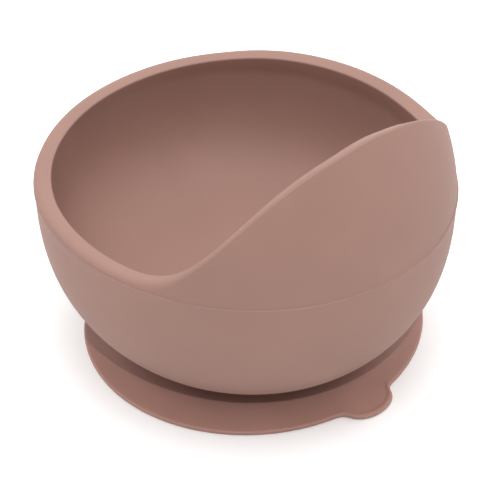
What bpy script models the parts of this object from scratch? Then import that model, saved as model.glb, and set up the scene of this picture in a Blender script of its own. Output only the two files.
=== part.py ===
"""Suction bowl for a baby: a soft bowl with one high wall, on a push-in suction base with a pull tab.

Frame: metres, +Z up. The origin is on the table, under the centre of the bowl's widest circle.
The high wall and the tab share one direction, 42 degrees round from -Y towards +X. The pieces are
modelled with that direction as their own +X, under an empty that turns them into place.
"""

import math

import bpy
from mathutils import Vector

# ---- driving dimensions, metres and degrees -------------------------------------------------
MM = 0.001
WALL_DIRECTION = math.radians(42.0 - 90.0)   # turn of the pieces' +X, about Z

# the bowl's outer shape
WIDEST_RADIUS = 61.65 * MM
WIDEST_HEIGHT = 53.0 * MM
PARTING_HEIGHT = 55.8 * MM     # where the two halves of the mould met
UNDERSIDE_HEIGHT = 8.5 * MM
UNDERSIDE_RADIUS = 41.0 * MM
BODY_DEPTH = 55.8 * MM         # from the widest circle down to the ovoid's closed end
BODY_POWER = 2.4
TUCK_SLOPE = 0.9               # how far the high wall curls in, once it is well above the widest circle
TUCK_BEND = 46.0 * MM
BOWL_STRETCH = 1.024           # longer towards the high wall, narrower across

# the bowl's inside
WALL_THICKNESS = 5.0 * MM
FLOOR_HEIGHT = 16.0 * MM
INSIDE_POWER = 3.0

# the rim's course: degrees round from the middle of the high wall, millimetres above the parting line
RIM_COURSE = (
    (-180, 1.1), (-150, 0.5), (-125, 0.9), (-100, 2.1), (-72, 2.6),                 # low side
    (-64, 5.0), (-55, 12.8), (-46, 21.8), (-35, 29.9), (-20, 35.8), (0, 38.4),      # up the high wall
    (18, 35.9), (34, 29.6), (46, 21.6), (55, 13.2), (63, 8.4),                      # and down again
    (74, 6.4), (100, 5.8), (125, 5.0), (150, 2.9),                                  # far side
)

# how the bowl's surface is divided
BOWL_TURNS = 90                # divisions round the bowl
FOOT_RING_HEIGHTS = (9.3, 11.0, 13.5, 17.0, 21.5, 27.0, 33.0, 38.5)   # millimetres above the table
FIXED_TOP = 44.0 * MM          # above this the outside's rings follow the rim
OUTSIDE_STEPS = 9
RIM_ROUNDING = 2.6 * MM        # how far below the top the rim's rounding starts
RIM_SECTION = (                # over the rim: millimetres inward from the outside, and below the top
    (0.3, 1.3), (1.0, 0.45), (2.1, 0.08), (3.6, 0.0), (4.6, 0.25), (5.0, 1.0),
)
INSIDE_STEPS = 6
INSIDE_FIXED_TOP = 38.0 * MM   # below this the inside's rings are level
INSIDE_RING_DEPTHS = (0.56, 0.70, 0.82, 0.90, 0.955, 0.985)   # parts of the way down to the floor
FLOOR_RING_RADIUS = 6.0 * MM
FLOOR_DISH = 0.02 * MM         # how far the floor's centre is below its innermost ring

# the suction base
BASE_SHIFT_WORLD = Vector((2.8 * MM, 0.1 * MM, 0.0))   # the base's axis, from the bowl's axis
BASE_TURN = math.radians(-1.0)                         # the tab stands slightly aside of the high wall
HUB_RADIUS = 30.0 * MM
HUB_BOTTOM = 3.2 * MM
SEAT_GAP = 0.3 * MM            # between faces that touch on the real object
HUB_EDGE = 0.8 * MM            # chamfer of the hub's rim
HUB_FLOOR_STEP = 6.0 * MM      # from the hub's edge to the innermost ring of its floor
PLUG_RADIUS = 13.0 * MM
PLUG_HEIGHT = 4.3 * MM
PLUG_CHAMFER = 0.6 * MM
SKIRT_RADIUS = 52.0 * MM
SKIRT_STRETCH = 1.027          # wider across than towards the tab
SKIRT_TOP = 5.4 * MM
SKIRT_EDGE = 1.4 * MM          # thickness of the sealing lip
LIP_INNER_RADIUS = 47.0 * MM   # the flat part of the lip, which seals on the table
CHAMBER_HEIGHT = 2.6 * MM
SKIRT_BORE_GAP = 0.4 * MM
SKIRT_ROOF = ((7.0, 0.2), (4.0, 1.2))   # chamber roof: out from the bore, in from the lip; how far lower
LIP_CHAMFER = 0.5 * MM
SKIRT_SLOPE = ((3.0, 0.3), (7.0, 1.5))  # top: millimetres in from the edge, and above the lip
SKIRT_SHOULDER = (12.0 * MM, 0.8 * MM)  # in from the edge, and below the flat top
SKIRT_FLAT = 4.0 * MM                   # width of the flat top beside the bore

# the pull tab
TAB_REACH = 5.8 * MM           # beyond the lip
TAB_HALF_WIDTH = 8.6 * MM
TAB_SINK = 0.5 * MM            # how far inside the lip its widest line is
TAB_POWER = 2.1                # roundness of its outline
TAB_FLARE = 0.9 * MM           # how much wider its root is, on each side
TAB_FLARE_LENGTH = 2.2 * MM
TAB_THICKNESS = 1.2 * MM
TAB_UNDERSIDE = 0.2 * MM
TAB_SOFTENING = 0.4 * MM       # chamfer of its upper edge
TAB_SIDE_PARTS = (0.0, 0.1, 0.22, 0.36)           # parts of the way out along its straighter sides
TAB_TIP_TURNS = (30, 40, 50, 60, 69, 77, 84)      # degrees round its tip
TAB_ROOT_STEPS = 6

SKIRT_TURNS = 72
HUB_TURNS = 64

SILICONE = (0.376, 0.223, 0.184, 1.0)
SILICONE_ROUGHNESS = 0.55
SHARP_ANGLE = math.radians(35.0)   # steeper edges than this are shaded as sharp


# ---- scene helpers --------------------------------------------------------------------------
def clear_scene():
    for thing in list(bpy.data.objects):
        bpy.data.objects.remove(thing, do_unlink=True)


def silicone_material(name, shade=1.0):
    """Matte coloured silicone; shade makes one piece slightly lighter or darker."""
    material = bpy.data.materials.new(name)
    material.use_nodes = True
    shader = material.node_tree.nodes["Principled BSDF"]
    colour = [channel * shade for channel in SILICONE[:3]] + [1.0]
    shader.inputs["Base Color"].default_value = colour
    shader.inputs["Roughness"].default_value = SILICONE_ROUGHNESS
    shader.inputs["Metallic"].default_value = 0.0
    return material


def add_object(name, vertices, faces, material, parent):
    mesh = bpy.data.meshes.new(name)
    mesh.from_pydata(vertices, [], faces)
    mesh.validate()
    mesh.update()
    mesh.shade_smooth()
    mesh.set_sharp_from_angle(angle=SHARP_ANGLE)
    mesh.materials.append(material)
    piece = bpy.data.objects.new(name, mesh)
    bpy.context.scene.collection.objects.link(piece)
    piece.parent = parent
    return piece


def add_frame(name, location=(0.0, 0.0, 0.0), turn=0.0, parent=None):
    frame = bpy.data.objects.new(name, None)
    frame.empty_display_size = 0.02
    frame.location = location
    frame.rotation_euler = (0.0, 0.0, turn)
    frame.parent = parent
    bpy.context.scene.collection.objects.link(frame)
    return frame


def closed_from_rings(rings, first_pole, last_pole):
    """Join rings of equal length, first to last, and close both ends on a centre point."""
    count = len(rings[0])
    vertices = [first_pole] + [point for ring in rings for point in ring] + [last_pole]
    last_index = len(vertices) - 1
    faces = []
    for k in range(count):
        after = (k + 1) % count
        faces.append((0, 1 + after, 1 + k))
        for r in range(len(rings) - 1):
            low = 1 + r * count
            high = low + count
            faces.append((low + k, low + after, high + after, high + k))
        top = 1 + (len(rings) - 1) * count
        faces.append((top + k, top + after, last_index))
    return vertices, faces


def closed_ring_solid(sections):
    """Join a loop of sections, each a closed outline of equal length, into a ring-shaped solid."""
    count = len(sections)
    points = len(sections[0])
    vertices = [point for section in sections for point in section]
    faces = []
    for s in range(count):
        here = s * points
        there = ((s + 1) % count) * points
        for p in range(points):
            q = (p + 1) % points
            faces.append((here + p, there + p, there + q, here + q))
    return vertices, faces


# ---- the bowl -------------------------------------------------------------------------------
def ovoid_radius(widest, depth, power, below):
    """Radius of a rounded bowl shape, a distance below its widest circle."""
    part = min(1.0, max(0.0, below / depth))
    return widest * (1.0 - part ** power) ** (1.0 / power)


def outer_radius(z):
    if z <= WIDEST_HEIGHT:
        return ovoid_radius(WIDEST_RADIUS, BODY_DEPTH, BODY_POWER, WIDEST_HEIGHT - z)
    above = z - WIDEST_HEIGHT
    return WIDEST_RADIUS - TUCK_SLOPE * (math.hypot(above, TUCK_BEND) - TUCK_BEND)


def inner_radius(z):
    if z <= WIDEST_HEIGHT:
        depth = WIDEST_HEIGHT - FLOOR_HEIGHT
        return ovoid_radius(WIDEST_RADIUS - WALL_THICKNESS, depth, INSIDE_POWER, WIDEST_HEIGHT - z)
    return outer_radius(z) - WALL_THICKNESS


def course_slopes(course):
    """Slope at each point of a course that closes on itself, flat at every top and bottom."""
    count = len(course)
    spans = []
    steeps = []
    for k in range(count):
        here = course[k]
        after = course[(k + 1) % count]
        span = (after[0] - here[0]) % 360
        spans.append(span)
        steeps.append((after[1] - here[1]) / span)
    slopes = []
    for k in range(count):
        before = steeps[k - 1]
        ahead = steeps[k]
        if before * ahead <= 0.0:
            slopes.append(0.0)
            continue
        weight_before = 2.0 * spans[k] + spans[k - 1]
        weight_ahead = spans[k] + 2.0 * spans[k - 1]
        slopes.append((weight_before + weight_ahead) / (weight_before / before + weight_ahead / ahead))
    return spans, slopes


RIM_SPANS, RIM_SLOPES = course_slopes(RIM_COURSE)


def rim_height(angle):
    """Top of the rim above the table; angle 0 is the middle of the high wall."""
    degrees = (math.degrees(angle) + 180.0) % 360.0 - 180.0
    k = max(index for index, point in enumerate(RIM_COURSE) if point[0] <= degrees + 1e-9)
    after = (k + 1) % len(RIM_COURSE)
    span = RIM_SPANS[k]
    t = (degrees - RIM_COURSE[k][0]) / span
    height = (2.0 * t ** 3 - 3.0 * t ** 2 + 1.0) * RIM_COURSE[k][1]
    height += (t ** 3 - 2.0 * t ** 2 + t) * span * RIM_SLOPES[k]
    height += (3.0 * t ** 2 - 2.0 * t ** 3) * RIM_COURSE[after][1]
    height += (t ** 3 - t ** 2) * span * RIM_SLOPES[after]
    return PARTING_HEIGHT + height * MM


def bowl_point(radius, angle, z, shift=(0.0, 0.0)):
    along = radius * math.cos(angle) * BOWL_STRETCH
    across = radius * math.sin(angle) / BOWL_STRETCH
    return (along + shift[0], across + shift[1], z)


def make_bowl(parent, base_shift):
    """One ring of points after another: up the socket, out under the foot, up the outside,
    over the rim and down the inside."""
    angles = [math.pi * (2.0 * k / BOWL_TURNS - 1.0) for k in range(BOWL_TURNS)]
    socket_radius = PLUG_RADIUS + SEAT_GAP
    socket_top = UNDERSIDE_HEIGHT + PLUG_HEIGHT + SEAT_GAP
    rings = []

    def flat_ring(radius, z, shift):
        rings.append([bowl_point(radius, angle, z, shift) for angle in angles])

    def round_ring(radius, z):
        """A true circle round the base's axis, so that the plug fits it."""
        rings.append([(radius * math.cos(angle) + base_shift.x,
                       radius * math.sin(angle) + base_shift.y, z) for angle in angles])

    # the socket for the base's plug, and the flat underside
    round_ring(socket_radius, socket_top)
    round_ring(socket_radius, UNDERSIDE_HEIGHT + PLUG_CHAMFER)
    round_ring(socket_radius + PLUG_CHAMFER, UNDERSIDE_HEIGHT)
    round_ring(HUB_RADIUS, UNDERSIDE_HEIGHT)
    flat_ring(UNDERSIDE_RADIUS, UNDERSIDE_HEIGHT, (0.0, 0.0))

    # the rounded edge of the foot, then the fixed part of the outside
    for height in FOOT_RING_HEIGHTS:
        flat_ring(outer_radius(height * MM), height * MM, (0.0, 0.0))

    # the outside from there to the foot of the rim's rounding
    for k in range(OUTSIDE_STEPS + 1):
        ring = []
        for angle in angles:
            top = rim_height(angle) - RIM_ROUNDING
            z = FIXED_TOP + (top - FIXED_TOP) * k / OUTSIDE_STEPS
            ring.append(bowl_point(outer_radius(z), angle, z))
        rings.append(ring)

    # over the rim
    for inward, drop in RIM_SECTION:
        ring = []
        for angle in angles:
            z = rim_height(angle) - drop * MM
            ring.append(bowl_point(outer_radius(z) - inward * MM, angle, z))
        rings.append(ring)

    # down the inside
    rim_end = RIM_SECTION[-1][1] * MM
    for k in range(1, INSIDE_STEPS + 1):
        ring = []
        for angle in angles:
            top = rim_height(angle) - rim_end
            z = top + (INSIDE_FIXED_TOP - top) * k / INSIDE_STEPS
            ring.append(bowl_point(inner_radius(z), angle, z))
        rings.append(ring)
    depth = WIDEST_HEIGHT - FLOOR_HEIGHT
    for part in INSIDE_RING_DEPTHS:
        z = WIDEST_HEIGHT - depth * part
        flat_ring(inner_radius(z), z, (0.0, 0.0))
    flat_ring(FLOOR_RING_RADIUS, FLOOR_HEIGHT + FLOOR_DISH, (0.0, 0.0))

    first_pole = (base_shift.x, base_shift.y, socket_top)
    last_pole = (0.0, 0.0, FLOOR_HEIGHT)
    vertices, faces = closed_from_rings(rings, first_pole, last_pole)
    return add_object("bowl", vertices, faces, silicone_material("bowl_silicone"), parent)


# ---- the suction base -----------------------------------------------------------------------
def make_hub(parent):
    """The stiff centre of the base, with the plug that pushes into the bowl."""
    seat = UNDERSIDE_HEIGHT - SEAT_GAP
    plug_top = seat + PLUG_HEIGHT
    profile = [
        (HUB_RADIUS - HUB_FLOOR_STEP, HUB_BOTTOM),
        (HUB_RADIUS - HUB_EDGE, HUB_BOTTOM),
        (HUB_RADIUS, HUB_BOTTOM + HUB_EDGE),
        (HUB_RADIUS, seat - HUB_EDGE),
        (HUB_RADIUS - HUB_EDGE, seat),
        (PLUG_RADIUS, seat),
        (PLUG_RADIUS, plug_top - PLUG_CHAMFER),
        (PLUG_RADIUS - PLUG_CHAMFER, plug_top),
    ]
    rings = []
    for radius, z in profile:
        rings.append([(radius * math.cos(2.0 * math.pi * k / HUB_TURNS),
                       radius * math.sin(2.0 * math.pi * k / HUB_TURNS), z) for k in range(HUB_TURNS)])
    vertices, faces = closed_from_rings(rings, (0.0, 0.0, HUB_BOTTOM), (0.0, 0.0, plug_top))
    return add_object("suction_hub", vertices, faces, silicone_material("hub_silicone", 0.96), parent)


def skirt_point(radius, angle, z, bore):
    """Round at the bore and slightly oval at the lip."""
    part = (radius - bore) / (SKIRT_RADIUS - bore)
    stretch = 1.0 + (SKIRT_STRETCH - 1.0) * part
    return (radius * math.cos(angle) / stretch, radius * math.sin(angle) * stretch, z)


def make_skirt(parent):
    """The flexible skirt: thick at the hub, thin at the lip, with the suction chamber under it."""
    bore = HUB_RADIUS + SKIRT_BORE_GAP
    edge = SKIRT_RADIUS
    (near_out, near_drop), (far_in, far_drop) = SKIRT_ROOF
    profile = [
        (bore, CHAMBER_HEIGHT),
        (bore + near_out * MM, CHAMBER_HEIGHT - near_drop * MM),
        (LIP_INNER_RADIUS - far_in * MM, CHAMBER_HEIGHT - far_drop * MM),
        (LIP_INNER_RADIUS, 0.0),
        (edge - LIP_CHAMFER, 0.0),
        (edge, LIP_CHAMFER),
        (edge, SKIRT_EDGE - LIP_CHAMFER),
        (edge - LIP_CHAMFER, SKIRT_EDGE),
    ]
    for inward, rise in SKIRT_SLOPE:
        profile.append((edge - inward * MM, SKIRT_EDGE + rise * MM))
    profile += [
        (edge - SKIRT_SHOULDER[0], SKIRT_TOP - SKIRT_SHOULDER[1]),
        (bore + SKIRT_FLAT, SKIRT_TOP),
        (bore, SKIRT_TOP),
    ]
    sections = []
    for k in range(SKIRT_TURNS):
        angle = 2.0 * math.pi * k / SKIRT_TURNS
        sections.append([skirt_point(radius, angle, z, bore) for radius, z in profile])
    vertices, faces = closed_ring_solid(sections)
    return add_object("suction_skirt", vertices, faces, silicone_material("skirt_silicone", 0.98), parent)


def lip_distance(across):
    """How far out the lip's edge is, along the tab's direction, at a distance across it."""
    out = SKIRT_RADIUS / SKIRT_STRETCH
    side = SKIRT_RADIUS * SKIRT_STRETCH
    return out * math.sqrt(1.0 - (across / side) ** 2)


def tab_half_width(distance):
    """Half the tab's width, at a distance beyond the lip."""
    flare = TAB_FLARE * max(0.0, 1.0 - distance / TAB_FLARE_LENGTH) ** 2
    part = min(1.0, (distance + TAB_SINK) / (TAB_REACH + TAB_SINK))
    return flare + TAB_HALF_WIDTH * (1.0 - part ** TAB_POWER) ** (1.0 / TAB_POWER)


def tab_outline(inset):
    """The tab's outline seen from above, from one end of its root round the tip to the other end.
    Distances out are from the hinge; the root follows the lip's edge."""
    parts = list(TAB_SIDE_PARTS) + [math.sin(math.radians(turn)) for turn in TAB_TIP_TURNS]
    side = []
    for part in parts:
        width = tab_half_width(part * TAB_REACH) - inset
        start = lip_distance(width) - lip_distance(0.0)
        side.append((start * (1.0 - part) + part * (TAB_REACH - inset), width))
    root = []
    for k in range(1, TAB_ROOT_STEPS):
        across = side[0][1] * (1.0 - 2.0 * k / TAB_ROOT_STEPS)
        root.append((lip_distance(across) - lip_distance(0.0), across))
    tip = [(TAB_REACH - inset, 0.0)]
    other_side = [(x, -y) for x, y in side]
    return other_side + tip + list(reversed(side)) + root


def make_tab(parent):
    """A flat rounded lobe, hinged at the top of its root edge."""
    wide = tab_outline(0.0)
    narrow = tab_outline(TAB_SOFTENING)
    bottom = [(x, y, -TAB_THICKNESS) for x, y in wide]
    side = [(x, y, -TAB_SOFTENING) for x, y in wide]
    top = [(x, y, 0.0) for x, y in narrow]
    count = len(wide)
    vertices = bottom + side + top
    faces = [tuple(range(count - 1, -1, -1)), tuple(range(2 * count, 3 * count))]
    for level in (0, count):
        for k in range(count):
            q = (k + 1) % count
            faces.append((level + k, level + q, level + count + q, level + count + k))
    return add_object("release_tab", vertices, faces, silicone_material("tab_silicone"), parent)


def build():
    clear_scene()
    assembly = add_frame("assembly", turn=WALL_DIRECTION)
    base_shift = BASE_SHIFT_WORLD.copy()
    base_shift.rotate(assembly.rotation_euler.to_matrix().inverted())
    base = add_frame("suction_base", location=base_shift, turn=BASE_TURN, parent=assembly)
    tab_root = lip_distance(0.0) + SEAT_GAP
    tab_hinge = add_frame("tab_hinge", location=(tab_root, 0.0, TAB_UNDERSIDE + TAB_THICKNESS), parent=base)
    make_bowl(assembly, base_shift)
    make_hub(base)
    make_skirt(base)
    make_tab(tab_hinge)


build()
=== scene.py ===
"""Looks of the suction bowl: fine meshes, silicone materials, floor, light and camera.

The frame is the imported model's, in metres, +Z up: the origin is on the table under the bowl's widest circle.
The shapes below are in mm. The bowl's are built with the high wall's direction as +X, the base's round the
base's own axis with the tab's direction as +X, and each is turned into place at the end.
"""

import math

import bpy
from mathutils import Matrix, Vector


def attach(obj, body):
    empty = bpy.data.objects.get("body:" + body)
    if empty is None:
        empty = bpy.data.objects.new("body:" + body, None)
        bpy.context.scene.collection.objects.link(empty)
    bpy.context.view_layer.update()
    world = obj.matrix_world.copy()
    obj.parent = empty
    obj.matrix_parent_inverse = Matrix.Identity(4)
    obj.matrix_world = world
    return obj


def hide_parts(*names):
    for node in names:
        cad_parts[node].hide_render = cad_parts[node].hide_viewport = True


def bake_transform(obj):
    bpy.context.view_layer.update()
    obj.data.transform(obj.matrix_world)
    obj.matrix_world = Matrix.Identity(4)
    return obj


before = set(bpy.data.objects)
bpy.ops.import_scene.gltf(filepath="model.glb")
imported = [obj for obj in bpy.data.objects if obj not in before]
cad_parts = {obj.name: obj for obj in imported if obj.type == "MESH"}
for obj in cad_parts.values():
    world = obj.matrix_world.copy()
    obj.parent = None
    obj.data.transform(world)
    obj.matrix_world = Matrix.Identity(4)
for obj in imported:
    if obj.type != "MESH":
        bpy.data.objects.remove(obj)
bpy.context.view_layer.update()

MM = 0.001
HIGH_WALL_DIRECTION = math.radians(-48.0)    # from +X, about Z
TAB_DIRECTION = math.radians(-49.0)

# the bowl's outside
WIDEST_RADIUS = 61.65
WIDEST_HEIGHT = 53.0
UNDERSIDE_HEIGHT = 8.5
BODY_DEPTH = 55.8            # from the widest circle down to where the body's curve would close
BODY_POWER = 2.4             # how full the body's curve is
TUCK_SLOPE = 0.9             # how much the wall would lean in, far above the widest circle
TUCK_BEND = 46.0             # how slowly it comes to that lean
BOWL_STRETCH = 1.024         # the bowl is slightly oval, longer along the high wall's direction
FOOT_SECTION = ((41.4, UNDERSIDE_HEIGHT), (42.5, UNDERSIDE_HEIGHT + 0.12), (43.3, UNDERSIDE_HEIGHT + 0.45))
BODY_LOWEST = 9.7            # heights between which the body's rings are level
BODY_HIGHEST = 49.0
BOWL_TURNS = 360
BODY_STEPS = 26
BELOW_LINE_STEPS = 4
ABOVE_LINE_STEPS = 16

# the bowl's wall and inside
WALL_THICKNESS = 5.0
RIM_THICKNESS = 5.15
RIM_ONE_SIDE = 0.35          # thicker on one side of the high wall, thinner on the other
HIGH_WALL_THINNER = 0.8
HIGH_WALL_RISE = 34.0        # height above the mould line at which the wall is thinnest
THICKNESS_EASE = 8.0         # height over which the body's thickness becomes the rim's
RIM_THICKNESS_FADE = 3.0     # how fast the rim's own thickness gives way: gone a third of the way down
FLOOR_HEIGHT = 16.0
INSIDE_POWER = 3.0           # how full the inside's curve is
INSIDE_EASE = 2.5            # over what depth it settles below the widest circle
INSIDE_MIDDLE = 40.0         # height where the rows that follow the rim become level
INSIDE_UPPER_STEPS = 18
INSIDE_LOWER_STEPS = 29
LAST_FLOOR_TURN = math.radians(89.0)

# the rim's course: degrees round from the middle of the high wall, mm above the mould line
RIM_COURSE = (
    (-180, 1.1), (-150, 0.5), (-125, 0.9), (-100, 2.1), (-72, 2.6),
    (-64, 5.0), (-55, 12.8), (-46, 21.8), (-35, 29.9), (-20, 35.8), (0, 38.4),
    (18, 35.9), (34, 29.6), (46, 21.6), (55, 13.2), (63, 8.4),
    (74, 6.4), (100, 5.8), (125, 5.0), (150, 2.9),
)
RIM_SMOOTHING = math.radians(8.0)            # either way, how far the course is averaged
SMOOTHING_WEIGHTS = ((-1.0, 1.0), (-0.75, 2.0), (-0.5, 3.0), (-0.25, 4.0), (0.0, 4.0),
                     (0.25, 4.0), (0.5, 3.0), (0.75, 2.0), (1.0, 1.0))
SLOPE_STEP = math.radians(0.5)
RIM_ROUND = 2.8              # radius of the rim's outer edge along the low rim
HIGH_RIM_ROUND = 0.9         # and along the high wall
ROUND_CHANGES_FROM = 2.0     # rise above the mould line's height at which the one becomes the other
ROUND_CHANGES_OVER = 9.0
LEAST_ROUND_DEPTH = 1.2
RIM_CORNER = 0.55            # radius of the rim's inner edge
RIM_ROUND_STEPS = 12
RIM_CORNER_STEPS = 8

# the raised mould line: a small ledge, sharp above and fading out below
MOULD_LINE_HEIGHT = 55.8
MOULD_LINE_LIFT = 0.15       # how far above that height it runs where the rim is well clear
MOULD_LINE_BELOW_RIM = 2.3   # it dips to stay about this far below a low rim
MOULD_LINE_BEND = 0.6
MOULD_LINE_CLEARANCE = 0.7   # kept between the line and the rim's rounding
MOULD_LINE_PROUD = 0.38
MOULD_LINE_SECTION = ((0.34, 0.0), (0.24, 0.06), (0.14, 0.3), (0.04, 0.66), (-0.06, 0.92), (-0.18, 1.0),
                      (-0.4, 0.93), (-0.9, 0.68), (-1.5, 0.38), (-2.2, 0.12), (-3.0, 0.0))

# the hub, its plug and the socket under the bowl
BASE_CENTRE = (2.8, 0.1)
HUB_RADIUS = 30.0
HUB_FLOOR = 3.2
HUB_GAP = 0.3                # under the bowl
HUB_EDGE_ROUND = 0.9
ROUND_SHARE = 0.45           # a corner's rounding takes at most this share of each side
HUB_MIDDLE_RADIUS = 1.0
HUB_TURNS = 144
PLUG_RADIUS = 13.0
PLUG_LENGTH = 4.3
SOCKET_GAP = 0.3             # round the plug
SOCKET_DEPTH = 4.6
SOCKET_END_ROUND = 0.5
SOCKET_MOUTH_ROUND = 0.6

# the skirt, from the hub out to the lip
SKIRT_BORE = HUB_RADIUS + 0.4
LIP_RADIUS = 52.0
LIP_STRETCH = 1.027          # the lip is slightly oval, longer across the tab's direction
LIP_THICKNESS = 1.35
LIP_WIDTH = 4.6              # level ring outside the cone
LIP_CORNER = 0.55
LIP_UNDER_ROUND = 0.9        # the flat underside stops this far inside the lip's edge
LIP_UNDER_FLAT = 0.2         # the edge's underside is flat for this far inside its rounding
CONE_SLOPE = 0.34
CONE_FOOT_BEND = 2.0
CONE_TOP_BEND = 0.5
BASE_TOP = 5.4
CHAMBER_SECTION = ((SKIRT_BORE, 2.6), (SKIRT_BORE + 7.0, 2.4), (43.0, 1.4), (45.5, 0.5), (47.0, 0.0),
                   (48.5, 0.0))
EDGE_STEPS = 8
CONE_STEPS = 8
# distances in from the edge of the top's rows, close together at first
TOP_INSETS = [0.8 + 0.25 * k for k in range(14)] + [4.4 + 0.55 * k for k in range(14)]
FINE_SECTOR = 18.0           # degrees either side of the tab's middle with sections at the fine step
FINE_STEP = 0.25
COARSE_STEP = 1.2

# the pull tab: a lobe on the lip with a shallow dish inside a raised margin
TAB_REACH = 5.8
TAB_HALF_WIDTH = 8.6
TAB_SINK = 0.5               # how far inside the lip's edge the lobe's middle is
TAB_POWER = 2.1
TAB_FILLET = 2.4
TAB_UNDERSIDE = 0.2          # the tab's underside is this far off the table
TAB_UNDERSIDE_OVER = 3.0     # and rises to that over this distance past the lip's edge
TAB_DISH_DEPTH = 0.68
TAB_DISH_CENTRE = 51.0
TAB_DISH_LENGTH = 4.6
TAB_DISH_WIDTH = 5.6
TAB_SHAPE_FROM = 40.0        # the dish and the margin fade in over this stretch outward
TAB_SHAPE_OVER = 8.0
TAB_SHAPE_HALF_WIDTH = 12.5
TAB_SHAPE_SIDE_FADE = 3.5
TAB_MARGIN_RISE = 0.3
TAB_MARGIN_INSET = 1.15
TAB_MARGIN_WIDTH = 0.8
TAB_MARGIN_FROM = 47.5
TAB_MARGIN_OVER = 3.0
OUTLINE_NEAREST = 45.0       # radii between which the base's outline always lies
OUTLINE_FARTHEST = 60.0
OUTLINE_HALVINGS = 40

# materials
SILICONE_COLOUR = (0.268, 0.150, 0.121)
# the base's silicone: its own tone is a little more saturated than the bowl's, and it is painted lighter to
# stand in for the light that reaches the base from the sides
BASE_COLOUR_WITH_PAINTED_LIGHT = (0.335, 0.181, 0.147)
BOWL_ROUGHNESS = 0.6
HUB_ROUGHNESS = 0.6
SKIRT_ROUGHNESS = 0.55
ROUGHNESS_SPREAD = 0.05
CLOUD_SCALE = 38.0
CLOUD_DARKEST = 0.955
CLOUD_LIGHTEST = 1.035
GRAIN_SCALE = 2600.0
GRAIN_STRENGTH = 0.10
GRAIN_DEPTH = 0.12 * MM
SILICONE_IOR = 1.41
SILICONE_SPECULAR = 0.45
FLOOR_HALF_SIZE = 3.0        # metres, as are the softbox's sizes and the camera's place
FLOOR_COLOUR = (0.96, 0.96, 0.96, 1.0)
FLOOR_GLOW = 0.1             # the paper is a little over-exposed
WHITE = (1.0, 1.0, 1.0, 1.0)

# light and camera; angles in degrees
ROOM_AT_HORIZON = 0.7
ROOM_AT_CEILING = 2.2
ROOM_BRIGHTEST = (-0.05, 0.17, 0.97)
FLAG_ELEVATION = 25.0
FLAG_OUTSIDE = 0.55          # cosines of the flag's soft edge
FLAG_INSIDE = 0.9
FLAG_LIGHT = 0.0
SOFTBOX_WIDTH = 0.9
SOFTBOX_DEPTH = 0.6
SOFTBOX_DISTANCE = 1.3
SOFTBOX_ELEVATION = 66.0
SOFTBOX_POWER = 4.5
KEY_STRENGTH = 0.92
KEY_SPREAD = 1.0
KEY_ELEVATION = 53.0
KEY_FROM_RIGHT = 4.0
CAMERA_PLACE = (0.0, -0.4683, 0.4039)
CAMERA_TILT = 51.34          # from looking straight down
CAMERA_LENS = 146.9
CAMERA_SENSOR = 36.0


# ---- meshes -----------------------------------------------------------------------------------
def add_mesh(name, vertices, faces, turn, centre=(0.0, 0.0)):
    """A smooth mesh from points in mm, turned about Z and moved to its centre."""
    place = Matrix.Translation((centre[0] * MM, centre[1] * MM, 0.0)) @ Matrix.Rotation(turn, 4, "Z")
    mesh = bpy.data.meshes.new(name)
    mesh.from_pydata([place @ (Vector(point) * MM) for point in vertices], [], faces)
    mesh.validate()
    mesh.update()
    mesh.shade_smooth()
    piece = bpy.data.objects.new(name, mesh)
    bpy.context.scene.collection.objects.link(piece)
    return piece


def tube_faces(ring_count, points, first=0, closed=False):
    """Quads between rings of points that follow one another."""
    faces = []
    for r in range(ring_count if closed else ring_count - 1):
        low = first + r * points
        high = first + ((r + 1) % ring_count) * points
        for k in range(points):
            after = (k + 1) % points
            faces.append((low + k, low + after, high + after, high + k))
    return faces


def closed_lathe(rings, first_pole, last_pole):
    """Points and faces of rings joined into a tube, with both ends closed by a fan round a pole."""
    points = len(rings[0])
    vertices = [first_pole] + [point for ring in rings for point in ring] + [last_pole]
    faces = tube_faces(len(rings), points, first=1)
    last_ring = 1 + (len(rings) - 1) * points
    for k in range(points):
        after = (k + 1) % points
        faces.append((0, 1 + after, 1 + k))
        faces.append((last_ring + k, last_ring + after, len(vertices) - 1))
    return vertices, faces


def smooth_step(value):
    """From 0 to 1 as the value goes from 0 to 1, level at both ends."""
    value = min(1.0, max(0.0, value))
    return value * value * (3.0 - 2.0 * value)


def eased(value, bend):
    """Zero for large negative values and the value itself for large positive ones, with a soft bend."""
    return 0.5 * (value + math.hypot(value, bend))


def bump_curve(value, middle, width):
    """1 at the middle, falling away evenly on both sides."""
    return math.exp(-((value - middle) / width) ** 2)


# ---- the bowl's rim ---------------------------------------------------------------------------
def rim_slopes(course):
    """Span after each point of the rim's course, and the slope there: flat at every top and bottom."""
    count = len(course)
    spans = [(course[(k + 1) % count][0] - course[k][0]) % 360 for k in range(count)]
    steeps = [(course[(k + 1) % count][1] - course[k][1]) / spans[k] for k in range(count)]
    slopes = []
    for k in range(count):
        before = steeps[k - 1]
        ahead = steeps[k]
        if before * ahead <= 0.0:
            slopes.append(0.0)
            continue
        weight_before = 2.0 * spans[k] + spans[k - 1]
        weight_ahead = spans[k] + 2.0 * spans[k - 1]
        slopes.append((weight_before + weight_ahead) / (weight_before / before + weight_ahead / ahead))
    return spans, slopes


RIM_SPANS, RIM_SLOPES = rim_slopes(RIM_COURSE)


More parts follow.
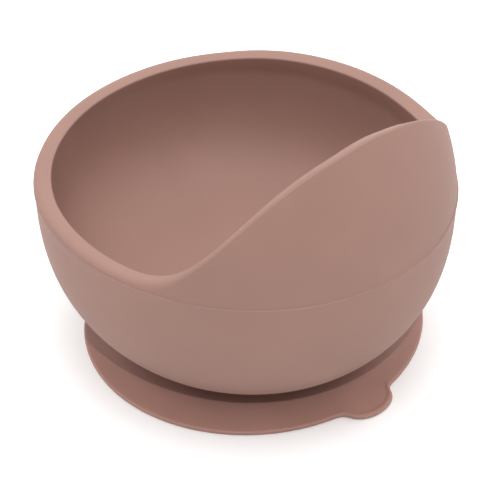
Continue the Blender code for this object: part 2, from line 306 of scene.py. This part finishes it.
def rim_height(angle):
    """The rim's height at an angle, on cubic curves through the course's points."""
    degrees = (math.degrees(angle) + 180.0) % 360.0 - 180.0
    k = max(index for index, point in enumerate(RIM_COURSE) if point[0] <= degrees + 1e-9)
    after = (k + 1) % len(RIM_COURSE)
    span = RIM_SPANS[k]
    part = (degrees - RIM_COURSE[k][0]) / span
    rise = (2.0 * part ** 3 - 3.0 * part ** 2 + 1.0) * RIM_COURSE[k][1]
    rise += (part ** 3 - 2.0 * part ** 2 + part) * span * RIM_SLOPES[k]
    rise += (3.0 * part ** 2 - 2.0 * part ** 3) * RIM_COURSE[after][1]
    rise += (part ** 3 - part ** 2) * span * RIM_SLOPES[after]
    return MOULD_LINE_HEIGHT + rise


def smoothed_rim_height(angle):
    """The rim's course, averaged over some degrees so that its slope has no kinks."""
    heights = [weight * rim_height(angle + part * RIM_SMOOTHING) for part, weight in SMOOTHING_WEIGHTS]
    return sum(heights) / sum(weight for _, weight in SMOOTHING_WEIGHTS)


def mould_line(angle):
    """Height of the raised line, which dips where the rim comes down to it."""
    gap = smoothed_rim_height(angle) - MOULD_LINE_BELOW_RIM - MOULD_LINE_HEIGHT
    return MOULD_LINE_HEIGHT - eased(-gap, MOULD_LINE_BEND) + MOULD_LINE_LIFT


def rim_rounding(angle):
    """How far the outer edge's rounding reaches: inward, and down the wall."""
    rise = smoothed_rim_height(angle) - MOULD_LINE_HEIGHT
    change = smooth_step((rise - ROUND_CHANGES_FROM) / ROUND_CHANGES_OVER)
    radius = RIM_ROUND + (HIGH_RIM_ROUND - RIM_ROUND) * change
    room = smoothed_rim_height(angle) - mould_line(angle) - MOULD_LINE_CLEARANCE
    return radius, min(radius, max(LEAST_ROUND_DEPTH, room))


# ---- the bowl's wall --------------------------------------------------------------------------
def outer_radius(z):
    """The outside before it is stretched: a full curve below the widest circle, a slow tuck above it."""
    if z <= WIDEST_HEIGHT:
        part = min(1.0, (WIDEST_HEIGHT - z) / BODY_DEPTH)
        return WIDEST_RADIUS * (1.0 - part ** BODY_POWER) ** (1.0 / BODY_POWER)
    return WIDEST_RADIUS - TUCK_SLOPE * (math.hypot(z - WIDEST_HEIGHT, TUCK_BEND) - TUCK_BEND)


def outer_lean(z):
    """How fast the outer radius grows with height."""
    step = 0.05
    return (outer_radius(z + step) - outer_radius(z - step)) / (2.0 * step)


def inner_radius(z):
    """The inside below the widest circle; its curve starts as bent as the wall above it."""
    widest = WIDEST_RADIUS - WALL_THICKNESS
    below = WIDEST_HEIGHT - z
    part = min(1.0, below / (WIDEST_HEIGHT - FLOOR_HEIGHT))
    lean = TUCK_SLOPE / TUCK_BEND * INSIDE_EASE
    drift = lean * (below - INSIDE_EASE * (1.0 - math.exp(-below / INSIDE_EASE)))
    return (widest - drift) * (1.0 - part ** INSIDE_POWER) ** (1.0 / INSIDE_POWER)


def bowl_point(radius, angle, z):
    """A point of the bowl, stretched to its slight oval."""
    return (radius * math.cos(angle) * BOWL_STRETCH, radius * math.sin(angle) / BOWL_STRETCH, z)


def wall_point(angle, z, inward):
    """A point below the outer surface, measured square to it."""
    lean = outer_lean(z)
    length = math.hypot(1.0, lean)
    return bowl_point(outer_radius(z) - inward / length, angle, z + inward * lean / length)


def wall_thickness(angle, z):
    """Thickness at the rim, easing to the body's thickness at the widest circle."""
    high_wall = smooth_step((rim_height(angle) - MOULD_LINE_HEIGHT) / HIGH_WALL_RISE)
    at_rim = RIM_THICKNESS + RIM_ONE_SIDE * math.sin(angle) - HIGH_WALL_THINNER * high_wall
    return WALL_THICKNESS + (at_rim - WALL_THICKNESS) * smooth_step((z - WIDEST_HEIGHT) / THICKNESS_EASE)


def rim_shift(angle, below):
    """Where a point is that lies some way below the rim, square to the rim's own course:
    its angle and height."""
    top = smoothed_rim_height(angle)
    step = SLOPE_STEP
    rise = (smoothed_rim_height(angle + step) - smoothed_rim_height(angle - step)) / (2.0 * step)
    radius = outer_radius(top)
    lean = math.hypot(1.0, outer_lean(top))
    slope = rise * lean / radius
    length = math.hypot(1.0, slope)
    return angle + below * slope / length / radius, top - below / length / lean


# ---- the bowl's rings -------------------------------------------------------------------------
def socket_rows(angles):
    """Rings of the socket for the base's plug, from its closed end out to the flat underside."""
    centre = Vector((BASE_CENTRE[0], BASE_CENTRE[1], 0.0))
    centre.rotate(Matrix.Rotation(-HIGH_WALL_DIRECTION, 3, "Z"))
    radius = PLUG_RADIUS + SOCKET_GAP
    top = UNDERSIDE_HEIGHT + SOCKET_DEPTH
    end = SOCKET_END_ROUND
    mouth = SOCKET_MOUTH_ROUND
    profile = ((radius - end, top), (radius - 0.3 * end, top - 0.3 * end), (radius, top - end),
               (radius, UNDERSIDE_HEIGHT + mouth), (radius + mouth / 3.0, UNDERSIDE_HEIGHT + mouth / 3.0),
               (radius + mouth, UNDERSIDE_HEIGHT), (HUB_RADIUS, UNDERSIDE_HEIGHT))
    rows = []
    for ring_radius, z in profile:
        rows.append([(centre.x + ring_radius * math.cos(angle), centre.y + ring_radius * math.sin(angle), z)
                     for angle in angles])
    return rows, (centre.x, centre.y, top)


def body_rows(angles):
    """Rings from the underside's edge up to the last level ring of the body."""
    rows = [[bowl_point(radius, angle, z) for angle in angles] for radius, z in FOOT_SECTION]
    first = math.asin(((WIDEST_HEIGHT - BODY_LOWEST) / BODY_DEPTH) ** (BODY_POWER / 2.0))
    last = math.asin(((WIDEST_HEIGHT - BODY_HIGHEST) / BODY_DEPTH) ** (BODY_POWER / 2.0))
    for k in range(BODY_STEPS + 1):
        turn = first + (last - first) * k / BODY_STEPS
        z = WIDEST_HEIGHT - BODY_DEPTH * math.sin(turn) ** (2.0 / BODY_POWER)
        rows.append([bowl_point(outer_radius(z), angle, z) for angle in angles])
    return rows


def mould_line_rows(angles):
    """Rings from the level body up to the mould line, and the line's own ledge."""
    rows = []
    below_line = -MOULD_LINE_SECTION[-1][0]
    for k in range(1, BELOW_LINE_STEPS):
        ring = []
        for angle in angles:
            climb = mould_line(angle) - below_line - BODY_HIGHEST
            ring.append(wall_point(angle, BODY_HIGHEST + climb * k / BELOW_LINE_STEPS, 0.0))
        rows.append(ring)
    for offset, part in reversed(MOULD_LINE_SECTION):
        rows.append([wall_point(angle, mould_line(angle) + offset, -MOULD_LINE_PROUD * part)
                     for angle in angles])
    return rows


def upper_wall_rows(angles):
    """Rings from the mould line up to where the rim's rounding starts."""
    rows = []
    for k in range(1, ABOVE_LINE_STEPS):
        part = k / ABOVE_LINE_STEPS
        ring = []
        for angle in angles:
            start_z = mould_line(angle) + MOULD_LINE_SECTION[0][0]
            end_angle, end_z = rim_shift(angle, rim_rounding(angle)[1])
            here = angle + (end_angle - angle) * part
            ring.append(wall_point(here, start_z + (end_z - start_z) * part, 0.0))
        rows.append(ring)
    return rows


def rim_rows(angles):
    """Rings over the rim: its outer edge's rounding, then its inner edge's."""
    rows = []
    for k in range(RIM_ROUND_STEPS + 1):
        turn = math.radians(90.0 * k / RIM_ROUND_STEPS)
        ring = []
        for angle in angles:
            radius, depth = rim_rounding(angle)
            inward = radius * (1.0 - math.cos(turn))
            ring.append(wall_point(*rim_shift(angle, depth * (1.0 - math.sin(turn))), inward))
        rows.append(ring)
    for k in range(RIM_CORNER_STEPS + 1):
        turn = math.radians(90.0 * k / RIM_CORNER_STEPS)
        ring = []
        for angle in angles:
            thickness = wall_thickness(angle, smoothed_rim_height(angle))
            inward = thickness - RIM_CORNER * (1.0 - math.sin(turn))
            ring.append(wall_point(*rim_shift(angle, RIM_CORNER * (1.0 - math.cos(turn))), inward))
        rows.append(ring)
    return rows


def inside_rows(angles):
    """Rings from below the rim's inner edge down to the middle of the floor."""
    rows = []
    for k in range(1, INSIDE_UPPER_STEPS + 1):
        part = k / INSIDE_UPPER_STEPS
        ring = []
        for angle in angles:
            start_angle, start_z = rim_shift(angle, RIM_CORNER)
            here = start_angle + (angle - start_angle) * part
            z = start_z + (INSIDE_MIDDLE - start_z) * part
            if z > WIDEST_HEIGHT:
                at_rim = wall_thickness(angle, smoothed_rim_height(angle))
                fade = smooth_step(RIM_THICKNESS_FADE * part)
                ring.append(wall_point(here, z, at_rim + (wall_thickness(angle, z) - at_rim) * fade))
            else:
                ring.append(bowl_point(inner_radius(z), here, z))
        rows.append(ring)
    depth = WIDEST_HEIGHT - FLOOR_HEIGHT
    first = math.asin(((WIDEST_HEIGHT - INSIDE_MIDDLE) / depth) ** (INSIDE_POWER / 2.0))
    for k in range(1, INSIDE_LOWER_STEPS + 1):
        turn = first + (LAST_FLOOR_TURN - first) * k / INSIDE_LOWER_STEPS
        z = WIDEST_HEIGHT - depth * math.sin(turn) ** (2.0 / INSIDE_POWER)
        rows.append([bowl_point(inner_radius(z), angle, z) for angle in angles])
    return rows


def make_bowl():
    """The whole moulding as one closed skin: socket, body, rim and inside."""
    angles = [math.pi * (2.0 * k / BOWL_TURNS - 1.0) for k in range(BOWL_TURNS)]
    rings, socket_pole = socket_rows(angles)
    for rows in (body_rows, mould_line_rows, upper_wall_rows, rim_rows, inside_rows):
        rings += rows(angles)
    vertices, faces = closed_lathe(rings, socket_pole, (0.0, 0.0, FLOOR_HEIGHT))
    bowl = add_mesh("bowl_moulding", vertices, faces, HIGH_WALL_DIRECTION)
    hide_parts("bowl")
    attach(bowl, "bowl")
    return bowl


# ---- the hub ----------------------------------------------------------------------------------
def rounded(profile, radius, steps=4):
    """The profile with each inner corner turned into an arc-like curve of a few points."""
    result = [profile[0]]
    for before, corner, after in zip(profile, profile[1:], profile[2:]):
        corner_point = Vector(corner)
        back = Vector(before) - corner_point
        ahead = Vector(after) - corner_point
        reach = min(radius, ROUND_SHARE * back.length, ROUND_SHARE * ahead.length)
        start = corner_point + back.normalized() * reach
        end = corner_point + ahead.normalized() * reach
        for k in range(steps + 1):
            part = k / steps
            point = start * (1.0 - part) ** 2 + corner_point * 2.0 * part * (1.0 - part) + end * part ** 2
            result.append((point.x, point.y))
    result.append(profile[-1])
    return result


def make_hub():
    """The base's thick centre, with the plug on top."""
    seat = UNDERSIDE_HEIGHT - HUB_GAP
    plug_top = seat + PLUG_LENGTH
    corners = [(HUB_MIDDLE_RADIUS, HUB_FLOOR), (HUB_RADIUS, HUB_FLOOR), (HUB_RADIUS, seat),
               (PLUG_RADIUS, seat), (PLUG_RADIUS, plug_top), (HUB_MIDDLE_RADIUS, plug_top)]
    turns = [math.tau * k / HUB_TURNS for k in range(HUB_TURNS)]
    rings = []
    for radius, z in rounded(corners, HUB_EDGE_ROUND):
        rings.append([(radius * math.cos(turn), radius * math.sin(turn), z) for turn in turns])
    vertices, faces = closed_lathe(rings, (0.0, 0.0, HUB_FLOOR), (0.0, 0.0, plug_top))
    hub = add_mesh("base_hub", vertices, faces, TAB_DIRECTION, BASE_CENTRE)
    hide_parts("suction_hub")
    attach(hub, "hub")
    return hub


# ---- the skirt and its tab --------------------------------------------------------------------
def outline_gap(x, y):
    """Less than zero inside the base's outline: the oval lip joined to the tab's lobe by fillets."""
    lip = math.hypot(x * LIP_STRETCH, y / LIP_STRETCH) - LIP_RADIUS
    centre = LIP_RADIUS / LIP_STRETCH - TAB_SINK
    along = abs(x - centre) / (TAB_REACH + TAB_SINK)
    across = abs(y) / TAB_HALF_WIDTH
    lobe = ((along ** TAB_POWER + across ** TAB_POWER) ** (1.0 / TAB_POWER) - 1.0) * TAB_REACH
    overlap = max(0.0, TAB_FILLET - abs(lip - lobe)) / TAB_FILLET
    return min(lip, lobe) - overlap * overlap * TAB_FILLET / 4.0


def outline_radius(angle):
    """How far out the base's outline is at an angle, found by halving."""
    low = OUTLINE_NEAREST
    high = OUTLINE_FARTHEST
    for _ in range(OUTLINE_HALVINGS):
        middle = 0.5 * (low + high)
        if outline_gap(middle * math.cos(angle), middle * math.sin(angle)) < 0.0:
            low = middle
        else:
            high = middle
    return low


def skirt_angles():
    """Finely spaced round the tab, coarser over the rest of the lip."""
    fine_count = round(FINE_SECTOR / FINE_STEP)
    coarse_count = round((360.0 - 2.0 * FINE_SECTOR) / COARSE_STEP)
    fine = [math.radians(FINE_STEP * k) for k in range(-fine_count, fine_count + 1)]
    coarse = [math.radians(FINE_SECTOR + COARSE_STEP * k) for k in range(1, coarse_count)]
    return fine + coarse


def skirt_top(angle, radius, edge):
    """Height of the base's top: a low cone with a level lip, and the tab's shallow dish and raised margin."""
    x = radius * math.cos(angle)
    y = radius * math.sin(angle)
    in_from_lip = LIP_RADIUS - math.hypot(x * LIP_STRETCH, y / LIP_STRETCH)
    cone = LIP_THICKNESS + CONE_SLOPE * eased(in_from_lip - LIP_WIDTH, CONE_FOOT_BEND)
    level = cone - eased(cone - BASE_TOP, CONE_TOP_BEND)
    fade = smooth_step((x - TAB_SHAPE_FROM) / TAB_SHAPE_OVER)
    fade *= smooth_step((TAB_SHAPE_HALF_WIDTH - abs(y)) / TAB_SHAPE_SIDE_FADE)
    dish = bump_curve(x, TAB_DISH_CENTRE, TAB_DISH_LENGTH) * bump_curve(y, 0.0, TAB_DISH_WIDTH)
    margin = bump_curve(edge - radius, TAB_MARGIN_INSET, TAB_MARGIN_WIDTH)
    margin *= smooth_step((x - TAB_MARGIN_FROM) / TAB_MARGIN_OVER)
    return level + fade * (TAB_MARGIN_RISE * margin - TAB_DISH_DEPTH * dish)


def skirt_section(angle):
    """Radius and height round the skirt's section: chamber, lip, edge, then the top back to the bore."""
    edge = outline_radius(angle)
    lip_edge = LIP_RADIUS / math.hypot(math.cos(angle) * LIP_STRETCH, math.sin(angle) / LIP_STRETCH)
    low = TAB_UNDERSIDE * smooth_step((edge - lip_edge) / TAB_UNDERSIDE_OVER)
    high = skirt_top(angle, edge - LIP_CORNER, edge)
    section = [*CHAMBER_SECTION, (lip_edge - LIP_UNDER_ROUND, 0.0),
               (edge - LIP_CORNER - LIP_UNDER_FLAT, low)]
    for k in range(EDGE_STEPS + 1):
        turn = math.radians(180.0 * k / EDGE_STEPS - 90.0)
        z = 0.5 * (low + high) + 0.5 * (high - low) * math.sin(turn)
        section.append((edge - LIP_CORNER + LIP_CORNER * math.cos(turn), z))
    radii = [edge - inset for inset in TOP_INSETS]
    last = radii[-1]
    radii += [last + (SKIRT_BORE - last) * k / CONE_STEPS for k in range(1, CONE_STEPS + 1)]
    return section + [(radius, skirt_top(angle, radius, edge)) for radius in radii]


def make_skirt():
    """The thin skirt with its lip and pull tab."""
    angles = skirt_angles()
    sections = [skirt_section(angle) for angle in angles]
    vertices = [(radius * math.cos(angle), radius * math.sin(angle), z)
                for angle, section in zip(angles, sections) for radius, z in section]
    faces = [tuple(reversed(face)) for face in tube_faces(len(sections), len(sections[0]), closed=True)]
    skirt = add_mesh("base_skirt", vertices, faces, TAB_DIRECTION, BASE_CENTRE)
    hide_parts("suction_skirt", "release_tab")
    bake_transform(skirt)
    return skirt


# ---- materials --------------------------------------------------------------------------------
def silicone(name, colour, roughness):
    """Matte moulded silicone: faint cloudiness in its colour, a fine blasted grain and a soft sheen."""
    material = bpy.data.materials.new(name)
    material.use_nodes = True
    nodes = material.node_tree.nodes
    links = material.node_tree.links
    shader = nodes["Principled BSDF"]
    shader.inputs["IOR"].default_value = SILICONE_IOR
    shader.inputs["Specular IOR Level"].default_value = SILICONE_SPECULAR
    place = nodes.new("ShaderNodeTexCoord")

    cloud = nodes.new("ShaderNodeTexNoise")
    cloud.inputs["Scale"].default_value = CLOUD_SCALE
    cloud.inputs["Detail"].default_value = 3.0
    cloud.inputs["Roughness"].default_value = 0.55
    links.new(place.outputs["Object"], cloud.inputs["Vector"])
    tint = nodes.new("ShaderNodeValToRGB")
    dark, light = tint.color_ramp.elements
    dark.position = 0.3
    dark.color = (*[channel * CLOUD_DARKEST for channel in colour], 1.0)
    light.position = 0.7
    light.color = (*[channel * CLOUD_LIGHTEST for channel in colour], 1.0)
    links.new(cloud.outputs["Fac"], tint.inputs["Fac"])
    links.new(tint.outputs["Color"], shader.inputs["Base Color"])

    polish = nodes.new("ShaderNodeMapRange")
    polish.inputs["To Min"].default_value = roughness - ROUGHNESS_SPREAD
    polish.inputs["To Max"].default_value = roughness + ROUGHNESS_SPREAD
    links.new(cloud.outputs["Fac"], polish.inputs["Value"])
    links.new(polish.outputs["Result"], shader.inputs["Roughness"])

    grain = nodes.new("ShaderNodeTexNoise")
    grain.inputs["Scale"].default_value = GRAIN_SCALE
    grain.inputs["Detail"].default_value = 2.0
    links.new(place.outputs["Object"], grain.inputs["Vector"])
    bump = nodes.new("ShaderNodeBump")
    bump.inputs["Strength"].default_value = GRAIN_STRENGTH
    bump.inputs["Distance"].default_value = GRAIN_DEPTH
    links.new(grain.outputs["Fac"], bump.inputs["Height"])
    links.new(bump.outputs["Normal"], shader.inputs["Normal"])
    return material


# ---- floor, light and camera ------------------------------------------------------------------
def make_floor():
    """A plain sheet of pale matte paper under the bowl."""
    half = FLOOR_HALF_SIZE
    mesh = bpy.data.meshes.new("floor")
    mesh.from_pydata([(-half, -half, 0.0), (half, -half, 0.0), (half, half, 0.0), (-half, half, 0.0)],
                     [], [(0, 1, 2, 3)])
    material = bpy.data.materials.new("floor_paper")
    material.use_nodes = True
    shader = material.node_tree.nodes["Principled BSDF"]
    shader.inputs["Base Color"].default_value = FLOOR_COLOUR
    shader.inputs["Roughness"].default_value = 0.9
    shader.inputs["Specular IOR Level"].default_value = 0.0
    shader.inputs["Emission Color"].default_value = WHITE
    shader.inputs["Emission Strength"].default_value = FLOOR_GLOW
    mesh.materials.append(material)
    floor = bpy.data.objects.new("floor", mesh)
    bpy.context.scene.collection.objects.link(floor)


def light_ramp(tree, name, direction, cosines, levels, interpolation):
    """Nodes for a light level that changes with how nearly a view of the room points along a direction."""
    place = tree.nodes.new("ShaderNodeTexCoord")
    along = tree.nodes.new("ShaderNodeVectorMath")
    along.name = name
    along.operation = "DOT_PRODUCT"
    along.inputs[1].default_value = direction
    tree.links.new(place.outputs["Generated"], along.inputs[0])
    ramp = tree.nodes.new("ShaderNodeMapRange")
    ramp.interpolation_type = interpolation
    ramp.inputs["From Min"].default_value = cosines[0]
    ramp.inputs["From Max"].default_value = cosines[1]
    ramp.inputs["To Min"].default_value = levels[0]
    ramp.inputs["To Max"].default_value = levels[1]
    tree.links.new(along.outputs["Value"], ramp.inputs["Value"])
    return ramp.outputs["Result"]


def make_room_light():
    """A pale room whose light grows from the horizon to the ceiling, with a dark flag low at the front."""
    world = bpy.data.worlds.new("studio")
    bpy.context.scene.world = world
    world.use_nodes = True
    tree = world.node_tree
    sky = light_ramp(tree, "sky", ROOM_BRIGHTEST, (0.0, 1.0), (ROOM_AT_HORIZON, ROOM_AT_CEILING), "LINEAR")
    elevation = math.radians(FLAG_ELEVATION)
    flag_direction = (0.0, -math.cos(elevation), math.sin(elevation))
    flag_edge = (FLAG_OUTSIDE, FLAG_INSIDE)
    flag = light_ramp(tree, "flag", flag_direction, flag_edge, (1.0, FLAG_LIGHT), "SMOOTHSTEP")
    both = tree.nodes.new("ShaderNodeMath")
    both.operation = "MULTIPLY"
    tree.links.new(sky, both.inputs[0])
    tree.links.new(flag, both.inputs[1])
    background = tree.nodes["Background"]
    background.inputs["Color"].default_value = WHITE
    tree.links.new(both.outputs["Value"], background.inputs["Strength"])


def make_softbox():
    """A wide softbox high up on the camera's side."""
    area = bpy.data.lights.new("softbox", "AREA")
    area.shape = "RECTANGLE"
    area.size = SOFTBOX_WIDTH
    area.size_y = SOFTBOX_DEPTH
    area.energy = SOFTBOX_POWER
    elevation = math.radians(SOFTBOX_ELEVATION)
    softbox = bpy.data.objects.new("softbox", area)
    softbox.location = (0.0, -SOFTBOX_DISTANCE * math.cos(elevation), SOFTBOX_DISTANCE * math.sin(elevation))
    softbox.rotation_euler = (-softbox.location).to_track_quat("-Z", "Y").to_euler()
    bpy.context.scene.collection.objects.link(softbox)


def make_key(pieces):
    """The hard key light, which throws the bowl's shadow on the base; it is kept off the floor."""
    sun = bpy.data.lights.new("key", "SUN")
    sun.energy = KEY_STRENGTH
    sun.angle = math.radians(KEY_SPREAD)
    from_right = math.radians(KEY_FROM_RIGHT)
    elevation = math.radians(KEY_ELEVATION)
    towards = Vector((-math.sin(from_right) * math.cos(elevation), math.cos(from_right) * math.cos(elevation),
                      -math.sin(elevation)))
    key = bpy.data.objects.new("key", sun)
    key.rotation_euler = towards.to_track_quat("-Z", "Y").to_euler()
    bpy.context.scene.collection.objects.link(key)
    lit = bpy.data.collections.new("lit_by_key")
    for piece in pieces:
        lit.objects.link(piece)
    key.light_linking.receiver_collection = lit


def make_camera():
    """A long lens, level from side to side and looking down at the bowl."""
    camera_data = bpy.data.cameras.new("camera")
    camera_data.lens = CAMERA_LENS
    camera_data.sensor_width = CAMERA_SENSOR
    camera = bpy.data.objects.new("camera", camera_data)
    camera.location = CAMERA_PLACE
    camera.rotation_euler = (math.radians(CAMERA_TILT), 0.0, 0.0)
    bpy.context.scene.collection.objects.link(camera)
    bpy.context.scene.camera = camera


def use_plain_colours():
    """Show the light as it is, with no film look."""
    view = bpy.context.scene.view_settings
    view.view_transform = "Standard"
    view.look = "None"


bowl = make_bowl()
hub = make_hub()
skirt = make_skirt()
bowl.data.materials.append(silicone("bowl_silicone", SILICONE_COLOUR, BOWL_ROUGHNESS))
hub.data.materials.append(silicone("hub_silicone", BASE_COLOUR_WITH_PAINTED_LIGHT, HUB_ROUGHNESS))
skirt.data.materials.append(silicone("skirt_silicone", BASE_COLOUR_WITH_PAINTED_LIGHT, SKIRT_ROUGHNESS))
make_floor()
make_room_light()
make_softbox()
make_key((bowl, hub, skirt))
make_camera()
use_plain_colours()
